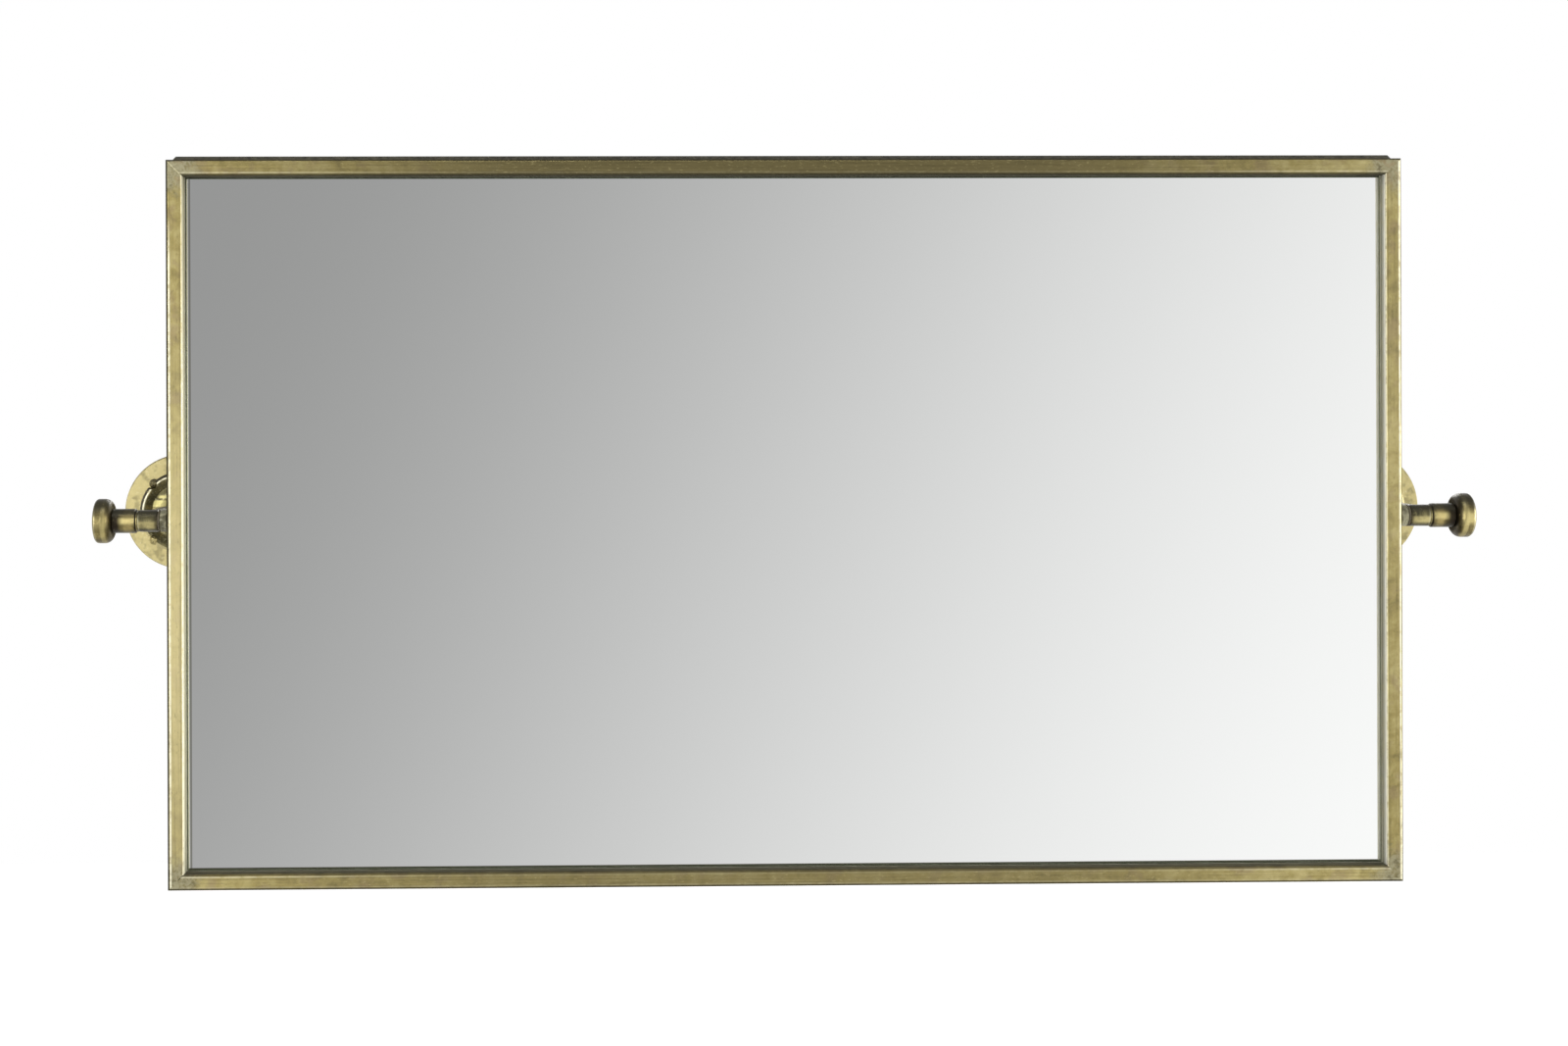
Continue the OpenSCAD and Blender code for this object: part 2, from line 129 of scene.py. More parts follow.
# Steel, fibre, foam, board and glass.
STEEL_PALE, STEEL_DARK = tone(156, 152, 124), tone(92, 88, 68)
STEEL_RING, STEEL_SPECK = tone(70, 68, 56), tone(206, 205, 186)
FIBRE_DARK, FIBRE_PALE = tone(66, 60, 46), tone(96, 88, 68)
FOAM_DARK, FOAM_PALE = tone(36, 36, 36), tone(58, 58, 56)
BOARD_DARK, BOARD_PALE = tone(48, 46, 38), tone(80, 77, 64)
SILVER, SILVER_LINE = tone(244, 245, 244), tone(176, 176, 166)
GLASS_EDGE_PALE, GLASS_EDGE_DARK = tone(186, 196, 182), tone(150, 162, 146)
BACK_PAINT_PALE, BACK_PAINT_DARK = tone(112, 114, 114), tone(96, 98, 98)
FLOOR_DARK, FLOOR_PALE = tone(226, 225, 222), tone(236, 235, 232)
WHITE = (1, 1, 1, 1)


# ------------------------------------------------ node helpers
class Graph:
    """Short ways to add shader nodes and join them."""

    def __init__(self, tree):
        self.tree = tree
        self.tree.nodes.clear()

    def put(self, socket, value):
        if isinstance(value, bpy.types.NodeSocket):
            self.tree.links.new(value, socket)
        else:
            socket.default_value = value

    def fill(self, node, values):
        """Sets a node's first inputs in order and gives its first output."""
        for socket, value in zip(node.inputs, values):
            self.put(socket, value)
        return node.outputs[0]

    def chain(self, kind, *values):
        """A new node with its first inputs set in order."""
        return self.fill(self.tree.nodes.new(kind), values)

    def add(self, kind, out=0, **inputs):
        """A new node with its inputs set by name, and one of its outputs."""
        node = self.tree.nodes.new(kind)
        for key, value in inputs.items():
            self.put(node.inputs[key.replace("_", " ")], value)
        return node.outputs[out]

    def math(self, operation, *values, clamp=False):
        node = self.tree.nodes.new("ShaderNodeMath")
        node.operation = operation
        node.use_clamp = clamp
        return self.fill(node, values)

    def times(self, *values):
        result = values[0]
        for value in values[1:]:
            result = self.math("MULTIPLY", result, value)
        return result

    def weigh(self, first, second, shares=(0.5, 0.5)):
        """Two values by their shares, which are halves unless it says otherwise."""
        return self.math("ADD", self.times(first, shares[0]), self.times(second, shares[1]))

    def apart(self, first, second):
        """How far two values are apart."""
        return self.math("ABSOLUTE", self.math("SUBTRACT", first, second))

    def step(self, value, start, end, low=0.0, high=1.0):
        """Goes smoothly from low at start to high at end."""
        node = self.tree.nodes.new("ShaderNodeMapRange")
        node.interpolation_type = "SMOOTHSTEP"
        if start > end:
            start, end, low, high = end, start, high, low
        return self.fill(node, (value, start, end, low, high))

    def band(self, value, middle, half, soft):
        """1 within half of middle, falling to 0 over soft."""
        return self.step(self.apart(value, middle), half, half + soft, 1.0, 0.0)

    def mix(self, factor, first, second, blend="MIX"):
        node = self.tree.nodes.new("ShaderNodeMix")
        node.data_type = "RGBA"
        node.blend_type = blend
        self.put(node.inputs["Factor"], factor)
        self.put(node.inputs[6], first)
        self.put(node.inputs[7], second)
        return node.outputs[2]

    def tint(self, colour, value, start, end, share, other):
        """Turns the colour to the other tone, by share at most, as value goes from start to end."""
        return self.mix(self.step(value, start, end, 0.0, share), colour, other)

    def ramp(self, factor, places, tones, between="LINEAR"):
        node = self.tree.nodes.new("ShaderNodeValToRGB")
        node.color_ramp.interpolation = between
        marks = node.color_ramp.elements
        while len(marks) < len(places):
            marks.new(0.5)
        for mark, place, colour in zip(marks, places, tones):
            mark.position = place
            mark.color = colour
        return self.fill(node, (factor,))

    def split(self, vector):
        node = self.tree.nodes.new("ShaderNodeSeparateXYZ")
        self.put(node.inputs[0], vector)
        return node.outputs

    def join(self, x, y, z):
        return self.chain("ShaderNodeCombineXYZ", x, y, z)

    def place(self):
        """Place in object space."""
        return self.add("ShaderNodeTexCoord", out=3)

    def normal(self):
        """The three parts of the object-space normal."""
        return self.split(self.add("ShaderNodeTexCoord", out=1))

    def noise(self, where, per_metre, detail=3.0, rough=0.55, shift=(0, 0, 0), bend=0.0):
        """Noise from 0 to 1 with a number of lumps per metre, one number or three."""
        rates = per_metre if isinstance(per_metre, tuple) else (per_metre,) * 3
        node = self.tree.nodes.new("ShaderNodeMapping")
        self.put(node.inputs["Vector"], where)
        node.inputs["Location"].default_value = shift
        node.inputs["Scale"].default_value = rates
        return self.add("ShaderNodeTexNoise", Vector=node.outputs[0], Scale=1.0, Detail=detail,
                        Roughness=rough, Distortion=bend)

    def bump(self, height, depth, strength):
        return self.add("ShaderNodeBump", Height=height, Distance=depth, Strength=strength)

    def surface(self, **inputs):
        """A Principled surface as the material's output."""
        self.output(self.add("ShaderNodeBsdfPrincipled", **inputs))

    def output(self, shader, kind="ShaderNodeOutputMaterial"):
        self.put(self.tree.nodes.new(kind).inputs[0], shader)


def new_material(name):
    material = bpy.data.materials.new(name)
    material.use_nodes = True
    return material, Graph(material.node_tree)


def dress(material, *nodes):
    for name in nodes:
        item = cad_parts[name]
        item.data.materials.clear()
        item.data.materials.append(material)


# ------------------------------------------------ the frame's four bars
# Noises: lumps per metre and their character.
BROAD = {"per_metre": 14.0, "detail": 4, "rough": 0.6}
BAR_MOTTLE = {"per_metre": 95.0, "detail": 5, "rough": 0.62, "shift": (3, 1, 7), "bend": 0.4}
BAR_GRAIN = {"per_metre": 900.0, "detail": 2, "rough": 0.6}
ROSY_CLOUDS = {"per_metre": 60.0, "detail": 3, "shift": (9, 9, 1)}
CORNER_CLOUDS = {"per_metre": 330.0, "detail": 4, "rough": 0.65, "bend": 1.2}
CORNER_PATCH = {"per_metre": 150.0, "detail": 3, "shift": (2, 7, 5)}
EDGE_WEAR = {"per_metre": 240.0, "detail": 3, "shift": (4, 4, 4)}
# Noises drawn out lengthwise: lumps per metre along the bar, and how many times as many across it.
FINE_LINES = {"along": 16, "ratio": 60, "detail": 4, "rough": 0.6, "shift": (1, 5, 2)}
LONG_LINES = {"along": 5, "ratio": 60, "detail": 2, "rough": 0.5, "shift": (8, 3, 4)}
FLECKS = {"along": 260, "ratio": 3.2, "detail": 3, "rough": 0.65, "shift": (6, 2, 9)}
# Shares of the fine and the long lines, of the fine and the broad clouds, of lines and grain.
LINE_SHARES, CLOUD_SHARES, RELIEF_SHARES = (0.7, 0.3), (0.55, 0.45), (0.7, 0.3)

# Where a noise turns the face's colour to another tone: start, end, the most of it, and the tone.
ROSY_TINT = (0.52, 0.66, 0.45, ROSE)
LINE_TINTS = ((0.52, 0.36, 0.26, DEEP), (0.57, 0.74, 0.35, STRAW))
FLECK_TINTS = ((0.58, 0.70, 0.3, DEEP), (0.42, 0.32, 0.3, STRAW))
CLOUD_TINT = (0.42, 0.64, 0.75, OLIVE)
PATCH_TINTS = ((0.55, 0.68, 0.7, DEEP), (0.46, 0.34, 0.55, ROSE))

BAR_RAMP = ((0.30, 0.47, 0.70), (OLIVE, GOLD, STRAW))
# Painted light and shade: how bright each bar's face is beside the common brass, by how it is lit.
FACE_LEVEL = {"top": 0.84, "bottom": 1.06, "left": 0.90, "right": 0.92}
# How much painted shade browns each bar away from its ends; on the upright bars only near the top.
MID_DARK = {"top": 0.95, "bottom": 0.62, "left": 0.75, "right": 0.75}
LEVEL_MIDDLE = (0.385, 0.14)
UPRIGHT_TOP = (0.2, 0.235, 0.0, 0.3)
# Painted light on an upright bar's face: how much paler it is at its palest place, how high that
# is, how far it reaches.
PALE_PLACE = {"left": (0.5, -0.075, 0.26), "right": (0.1, 0.06, 0.2)}

# Ground corners: from where to where they fade in, how ragged that is, and their share.
CORNER_FADE = (0.026, 0.012)
CORNER_RAGGED = 0.03
CORNER_SHARE = 0.8
# Lines along the mitres: half width, softness and share.
OPEN_MITRE = (0.2 * MM, 0.3 * MM, 0.85)
PALE_MITRE = (0.3 * MM, 0.5 * MM, 0.4)
MITRE_START = (6.0 * MM, 7.5 * MM)
NEAR_LOW_END, NEAR_HIGH_END = (-0.1, -0.2), (0.1, 0.2)

# The line worn pale along a bar's inner edge, also a painted highlight: distance from the outer
# face, half its width, its share.
INNER_LINE = {
    "top": (8.5 * MM, 0.3 * MM, 0.3),
    "bottom": (8.6 * MM, 0.3 * MM, 0.4),
    "left": (10.35 * MM, 0.35 * MM, 1.0),
    "right": (10.3 * MM, 0.25 * MM, 0.9),
}
# The one along its outer edge: distance from the outer face, and share.
OUTER_LINE = {
    "top": (1.85 * MM, 0.0),
    "bottom": (1.85 * MM, 0.12),
    "left": (2.2 * MM, 1.0),
    "right": (1.75 * MM, 0.85),
}
OUTER_LINE_HALF = 0.4 * MM
LINE_SOFT = 0.3 * MM
LINE_DEPTH = (2.6 * MM, 1.6 * MM)
LINE_WEAR = (0.33, 0.55, 0.45, 1.0)
LEVEL_LINE_ENDS = (0.22, 0.36, 0.2, 1.0)
# On the left bar both lines fade toward the top.
LEFT_INNER_FADE = (0.2, 0.06, 0.5, 1.0)
LEFT_OUTER_FADE = (0.2, 0.165)

# How far the painted shade on the outermost rounding reaches, and its share.
EDGE_SHADE = {
    "top": (1.2 * MM, 0.92),
    "bottom": (1.6 * MM, 0.85),
    "left": (1.6 * MM, 0.95),
    "right": (1.0 * MM, 0.65),
}
SHADE_SOFT = 0.35 * MM
SHADE_DEPTH = (4.0 * MM, 2.5 * MM)
INNER_ROUNDING = (0.5 * MM, 0.9 * MM)
INNER_ROUNDING_SHADE = 0.85

# Bands of painted light and shade down a bar's inner wall: from this many millimetres behind the
# front it has this tone.
WALL_LIGHT_BANDS = {
    "top": [(0.0, (60, 58, 44)), (9.2, (160, 158, 140))],
    "bottom": [(0.0, (54, 50, 38)), (3.6, (84, 82, 66)), (7.4, (64, 62, 50)),
               (9.4, (170, 168, 150))],
    "left": [(0.0, (242, 237, 208)), (3.2, (198, 194, 168)), (6.2, (150, 149, 124)),
             (8.9, (238, 235, 214))],
    "right": [(0.0, (166, 158, 130)), (1.6, (236, 233, 218)), (3.4, (176, 175, 162)),
              (5.4, (162, 160, 146)), (7.0, (136, 134, 118)), (8.8, (100, 96, 78)),
              (9.6, (226, 222, 200))],
}
BAND_SOFT = 0.3                               # millimetres to each side of a band's start
WALL_START = (0.25 * MM, 0.1 * MM)
WALL_DEPTH = (0.9 * MM, 1.5 * MM)
LEFT_WALL_TINT = (0.04, 0.2, 0.35, OLIVE)
WALL_MOTTLE = (0.35, 0.65, 0.25)

BRASS_METAL = 0.88
BAR_ROUGHNESS = (0.3, 0.7, 0.52, 0.38)
BAR_BUMP = (0.00012, 0.5)
BAR_SPECULAR = 0.1
WALL_DULLNESS = 0.6
DULL_ROUGHNESS = 0.45


def bar_places(g, bar):
    """One bar's places: along it, from its outer face, behind its front and short of its end."""
    where = g.place()
    x, y, z = g.split(where)
    level = bar in LEVEL_BARS
    along, across = (x, z) if level else (z, x)
    half_length = HALF_LENGTH["level" if level else "upright"]
    return SimpleNamespace(
        where=where, along=along, level=level,
        from_outer=g.apart(across, OUTER_FACE[bar]),
        depth=g.math("SUBTRACT", y, FRAME_FRONT),
        to_end=g.math("SUBTRACT", half_length, g.apart(along, 0.0 if level else FRAME_MIDDLE)))


def drawn_out(g, at, along, ratio, **more):
    """Noise drawn out along the bar."""
    across = along * ratio
    rates = (along, across, across) if at.level else (across, across, along)
    return g.noise(at.where, rates, **more)


def bar_face(g, bar, at, blend, lines):
    """The colour of the bar's face between its ends, with painted light and shade on it."""
    colour = g.ramp(blend, *BAR_RAMP)
    colour = g.tint(colour, g.noise(at.where, **ROSY_CLOUDS), *ROSY_TINT)
    # Painted shade toward each level bar's middle and toward the top of an upright bar.
    if at.level:
        mid_shade = g.step(g.math("ABSOLUTE", at.along), *LEVEL_MIDDLE)
    else:
        mid_shade = g.step(at.along, *UPRIGHT_TOP)
    colour = g.mix(g.times(mid_shade, MID_DARK[bar]), colour, OLIVE)
    # Painted light on the upright bars.
    if bar in PALE_PLACE:
        share, height, reach = PALE_PLACE[bar]
        colour = g.tint(colour, g.apart(at.along, height), reach, 0.0, share, PALE_GOLD)
    for line_tint in LINE_TINTS:
        colour = g.tint(colour, lines, *line_tint)
    flecks = drawn_out(g, at, **FLECKS)
    for fleck_tint in FLECK_TINTS:
        colour = g.tint(colour, flecks, *fleck_tint)
    return g.mix(1.0, colour, grey(FACE_LEVEL[bar]), "MULTIPLY")


def ground_ends(g, bar, at, mottle, colour):
    """Adds the greyer, smudged ground corners and the lines along their mitres: a dark open end and
    a painted highlight.
    """
    unevenness = g.times(g.math("SUBTRACT", mottle, 0.5), CORNER_RAGGED)
    corner = g.step(g.math("ADD", at.to_end, unevenness), *CORNER_FADE)
    ground = g.tint(GROUND, g.noise(at.where, **CORNER_CLOUDS), *CLOUD_TINT)
    patch = g.noise(at.where, **CORNER_PATCH)
    for patch_tint in PATCH_TINTS:
        ground = g.tint(ground, patch, *patch_tint)
    colour = g.mix(g.times(corner, CORNER_SHARE), colour, ground)

    from_mitre = g.math("SUBTRACT", at.to_end, at.from_outer)
    if bar in ("bottom", "left"):
        # The open end of the mitre, in the lower left corner only.
        half, soft, share = OPEN_MITRE
        mitre = g.times(g.band(from_mitre, 0.0, half, soft), g.step(at.from_outer, *MITRE_START),
                        g.step(at.along, *NEAR_LOW_END))
        colour = g.mix(g.times(mitre, share), colour, NEAR_BLACK)
    if bar in ("top", "left"):
        # A painted highlight along the mitre, in the upper left corner only.
        half, soft, share = PALE_MITRE
        mitre_highlight = g.times(g.band(from_mitre, 0.0, half, soft),
                       g.step(at.along, *(NEAR_LOW_END if at.level else NEAR_HIGH_END)))
        colour = g.mix(g.times(mitre_highlight, share), colour, CREAM)
    return colour


def edge_lines_worn_and_lit(g, bar, at):
    """How much the lines along the front's two edges show: worn pale, and painted highlights as
    well.
    """
    place, half, share = INNER_LINE[bar]
    inner = g.times(g.band(at.from_outer, place, half, LINE_SOFT), share)
    if at.level:
        inner = g.times(inner, g.step(g.math("ABSOLUTE", at.along), *LEVEL_LINE_ENDS))
    place, share = OUTER_LINE[bar]
    outer = g.times(g.band(at.from_outer, place, OUTER_LINE_HALF, LINE_SOFT), share)
    if bar == "left":
        inner = g.times(inner, g.step(at.along, *LEFT_INNER_FADE))
        outer = g.times(outer, g.step(at.along, *LEFT_OUTER_FADE))
    wear = g.step(g.noise(at.where, **EDGE_WEAR), *LINE_WEAR)
    return g.times(g.math("MAXIMUM", inner, outer), g.step(at.depth, *LINE_DEPTH), wear)


def painted_edge_shade(g, bar, at):
    """Where painted shade lies: on the outermost rounding, and on the level bars' inner one."""
    reach = EDGE_SHADE[bar][0]
    edge_shade_mask = g.times(g.step(at.from_outer, reach, reach - SHADE_SOFT), g.step(at.depth, *SHADE_DEPTH))
    if at.level:
        start = INNER_LINE[bar][0]
        rounding = g.step(at.from_outer, *(start + past for past in INNER_ROUNDING))
        edge_shade_mask = g.math("MAXIMUM", edge_shade_mask, g.times(rounding, INNER_ROUNDING_SHADE))
    return edge_shade_mask


def painted_wall_bands(g, bar, at, mottle, colour):
    """The inner wall's bands of painted light and shade, one behind the other."""
    bands = None
    for start, levels in WALL_LIGHT_BANDS[bar]:
        if bands is None:
            bands = tone(*levels)
        else:
            begin = g.step(at.depth, (start - BAND_SOFT) * MM, (start + BAND_SOFT) * MM)
            bands = g.mix(begin, bands, tone(*levels))
    if bar == "left":
        bands = g.tint(bands, at.along, *LEFT_WALL_TINT)
    return g.tint(bands, mottle, *WALL_MOTTLE, colour)


def bar_brass(bar):
    """Aged, lengthwise brushed brass of one bar, with its ground corners, edges worn pale that also
    carry painted highlights, and painted light and shade on the face, roundings and inner wall.
    """
    material, g = new_material(bar + "_bar_brass")
    at = bar_places(g, bar)
    mottle = g.noise(at.where, **BAR_MOTTLE)
    fine_lines = drawn_out(g, at, **FINE_LINES)
    lines = g.weigh(fine_lines, drawn_out(g, at, **LONG_LINES), LINE_SHARES)
    blend = g.weigh(mottle, g.noise(at.where, **BROAD), CLOUD_SHARES)

    colour = bar_face(g, bar, at, blend, lines)
    colour = ground_ends(g, bar, at, mottle, colour)
    # Lines worn pale along the edges, also painted highlights.
    colour = g.mix(edge_lines_worn_and_lit(g, bar, at), colour, EDGE_CREAM)
    # Painted shade on the roundings, in the near-black tone that also marks the open mitre.
    edge_shade_mask = painted_edge_shade(g, bar, at)
    colour = g.mix(g.times(edge_shade_mask, EDGE_SHADE[bar][1]), colour, NEAR_BLACK)
    # Painted light and shade down the inner wall.
    wall = g.times(g.step(at.from_outer, *(BAR_WIDTH - short for short in WALL_START)),
                   g.step(at.depth, *WALL_DEPTH))
    colour = g.mix(wall, colour, painted_wall_bands(g, bar, at, mottle, colour))

    dull_parts = g.math("MAXIMUM", edge_shade_mask, g.times(wall, WALL_DULLNESS))
    rough = g.math("ADD", g.step(blend, *BAR_ROUGHNESS), g.times(dull_parts, DULL_ROUGHNESS))
    relief = g.weigh(fine_lines, g.noise(at.where, **BAR_GRAIN), RELIEF_SHARES)
    g.surface(Base_Color=colour, Roughness=rough, Specular_IOR_Level=BAR_SPECULAR,
              Metallic=g.math("SUBTRACT", BRASS_METAL, g.times(dull_parts, BRASS_METAL)),
              Normal=g.bump(relief, *BAR_BUMP))
    return material


for bar in BARS:
    dress(bar_brass(bar), bar + "_bar")

# ------------------------------------------------ turned brass
TURNED_MOTTLE = {"per_metre": 130.0, "detail": 5, "rough": 0.65, "shift": (5, 2, 8), "bend": 0.5}
TURNED_SPECK = {"per_metre": 620.0, "detail": 3, "rough": 0.7, "shift": (1, 1, 6)}
TURNED_RINGS = {"per_metre": (120, 1500, 120), "detail": 2, "rough": 0.6}
TURNED_RAMP = ((0.32, 0.52, 0.72), (OLIVE, GOLD, STRAW))
RING_TINT = (0.5, 0.35, 0.4, DEEP)
SPECK_FADE = (0.56, 0.72)
# Painted shade: on the upper half where dark_above asks for it, and on faces turned up and down.
UPPER_HALF = (-4 * MM, 4 * MM)
SHADE_UP = (0.1, 0.8, 0.0, 0.85)
SHADE_DOWN = (-0.45, -0.95, 0.0, 0.7)
SHADE_DULLNESS = 0.45
TURNED_ROUGHNESS = (0.3, 0.7, 0.5, 0.34)
TURNED_BUMP = (0.0001, 0.5)


def turned_brass(name, pale=0.0, dark=0.0, spark=0.5, shade_share=1.0, dark_above=0.0):
    """Aged brass turned about the post's axis: fine rings, speckle, painted shade above and below.
    """
    material, g = new_material(name)
    where = g.place()
    height = g.split(where)[2]
    facing_up = g.normal()[2]
    rings = g.noise(where, **TURNED_RINGS)
    mottle = g.noise(where, **TURNED_MOTTLE)
    speck = g.noise(where, **TURNED_SPECK)
    colour = g.ramp(mottle, *TURNED_RAMP)
    colour = g.mix(pale, colour, STRAW)
    # dark darkens the whole piece; dark_above adds painted shade on its upper half.
    darkness = g.math("ADD", dark, g.step(height, *UPPER_HALF, 0.0, dark_above), clamp=True)
    colour = g.mix(darkness, colour, DEEP)
    colour = g.tint(colour, rings, *RING_TINT)
    colour = g.tint(colour, speck, *SPECK_FADE, spark, CREAM)
    # Painted shade on the faces turned up and down.
    up_down_shade = g.math("MAXIMUM", g.step(facing_up, *SHADE_UP), g.step(facing_up, *SHADE_DOWN))
    colour = g.mix(g.times(up_down_shade, shade_share), colour, DEEP)
    metal = g.math("SUBTRACT", BRASS_METAL, g.times(up_down_shade, SHADE_DULLNESS * shade_share))
    g.surface(Base_Color=colour, Metallic=metal, Roughness=g.step(mottle, *TURNED_ROUGHNESS),
              Normal=g.bump(g.weigh(rings, speck), *TURNED_BUMP))
    return material


# The flange. Rings about the post: lumps per metre of radius and of depth, and their detail.
FLANGE_RINGS = (1500.0, 200.0)
FLANGE_RINGS_DETAIL = 2
FLANGE_RAMP = (0.30, 0.52, 0.74)
FLANGE_SPARK = 0.4
# The band outside the rim's crest: painted shade on the upper part of the left flange, painted
# light in straw elsewhere.
OUTSIDE = (FLANGE_R - 2.2 * MM, FLANGE_R - 1.7 * MM)
OUTSIDE_UPPER = (-12 * MM, -8 * MM)
ON_THE_LEFT = (0.1, -0.1)
OUTSIDE_DARK, OUTSIDE_STRAW = 0.85, 0.8
OUTSIDE_DULLNESS = 0.35
# Two painted highlights (gleams) beside the post, away from the mirror: height, half width and
# softness; where; share.
DISH_GLEAM = ((6.0 * MM, 1.6 * MM, 1.2 * MM), (8.5 * MM, 10 * MM), 0.75)
DISH_EDGE = (20.5 * MM, 19.0 * MM)
RIM_GLEAM = ((10.6 * MM, 0.6 * MM, 0.7 * MM), (8 * MM, 10 * MM), 0.6)
RIM_GLEAM_END = (16 * MM, 14 * MM)
# The painted highlight on the crest: its radius, half width and softness, and where it faces front.
CREST = (FLANGE_R - 2.6 * MM, 0.3 * MM, 0.35 * MM)
CREST_FRONT = (-0.35, -0.7)
CREST_BREAKUP = {"per_metre": 200.0, "detail": 3, "shift": (7, 7, 7)}
CREST_BREAKUP_FADE = (0.32, 0.5, 0.3, 1.0)
CREST_HEIGHT = (-4 * MM, 6 * MM)
CREST_SHARE = 0.95


def flange_surface():
    """The raised flange: a painted highlight on its crest, painted shade outside it on the upper
    left and painted light outside it elsewhere, dark in the dish, painted golden highlights.
    """
    material, g = new_material("flange_brass")
    where = g.place()
    x, y, z = g.split(where)
    facing_back = g.normal()[1]
    across = g.math("SUBTRACT", g.math("ABSOLUTE", x), POST_X)
    radius = g.math("SQRT", g.math("ADD", g.times(across, across), g.times(z, z)))
    mottle = g.noise(where, **TURNED_MOTTLE)
    speck = g.noise(where, **TURNED_SPECK)
    ring_place = g.join(g.times(radius, FLANGE_RINGS[0]), g.times(y, FLANGE_RINGS[1]), 0.0)
    rings = g.noise(ring_place, per_metre=1.0, detail=FLANGE_RINGS_DETAIL)
    colour = g.ramp(mottle, FLANGE_RAMP, FLANGE_TONES)
    colour = g.tint(colour, rings, *RING_TINT)
    colour = g.tint(colour, speck, *SPECK_FADE, FLANGE_SPARK, CREAM)

    # Painted shade outside the crest on the upper left, painted light elsewhere.
    shaded_part = g.times(g.step(z, *OUTSIDE_UPPER), g.step(x, *ON_THE_LEFT))
    outside = g.step(radius, *OUTSIDE)
    colour = g.mix(g.times(outside, shaded_part, OUTSIDE_DARK), colour, RIM_SHADE)
    lit_part = g.math("SUBTRACT", 1.0, shaded_part)
    colour = g.mix(g.times(outside, lit_part, OUTSIDE_STRAW), colour, STRAW)

    # The two painted highlights beside the post.
    height, reach, share = DISH_GLEAM
    gleam = g.times(g.band(z, *height), g.step(across, *reach), g.step(radius, *DISH_EDGE))
    colour = g.mix(g.times(gleam, share), colour, GLEAM)
    height, reach, share = RIM_GLEAM
    gleam = g.times(g.band(z, *height), g.step(across, *reach), g.step(across, *RIM_GLEAM_END))
    colour = g.mix(g.times(gleam, share), colour, GLEAM)

    # Painted highlight on the crest, on its upper part only.
    crest = g.times(g.band(radius, *CREST), g.step(facing_back, *CREST_FRONT))
    crest = g.times(crest, g.step(g.noise(where, **CREST_BREAKUP), *CREST_BREAKUP_FADE))
    crest = g.times(crest, g.step(z, *CREST_HEIGHT))
    colour = g.mix(g.times(crest, CREST_SHARE), colour, EDGE_CREAM)
    g.surface(Base_Color=colour, Roughness=g.step(mottle, *TURNED_ROUGHNESS),
              Metallic=g.math("SUBTRACT", BRASS_METAL, g.times(outside, OUTSIDE_DULLNESS)),
              Normal=g.bump(g.weigh(rings, speck), *TURNED_BUMP))
    return material


# Pieces turned about the tilt axis.
LATHE_LINES = {"per_metre": (1700, 110, 110), "detail": 2, "rough": 0.6}
LATHE_MOTTLE = {"per_metre": 150.0, "detail": 5, "rough": 0.68, "shift": (5, 2, 8), "bend": 0.5}
LATHE_SPECK = {"per_metre": 640.0, "detail": 4, "rough": 0.75, "shift": (1, 1, 6)}
LATHE_RAMP = (0.32, 0.52, 0.72)
LATHE_LINE_TINT = (0.5, 0.33, 0.5, DEEP)
LATHE_SPECK_TINT = (0.58, 0.76, 0.38, STRAW)
LEFT_TO_RIGHT = (-0.1, 0.1)
# The painted highlight (streak) along the front: half its width and its softness, as parts of the
# normal.
STREAK_WIDTH = (0.12, 0.34)
STREAK_FRONT = (-0.3, -0.8)
STREAK_BREAKUP = (0.25, 0.6, 0.45, 1.0)
SHADE_ABOVE = (0.15, 0.7, 0.0, 0.92)
BELOW = (-0.5, -0.95)
LATHE_METAL = 0.9
LATHE_DULLNESS = 0.35
LATHE_ROUGHNESS = (0.3, 0.7, 0.46, 0.3)
LATHE_BUMP = (0.0001, 0.6)


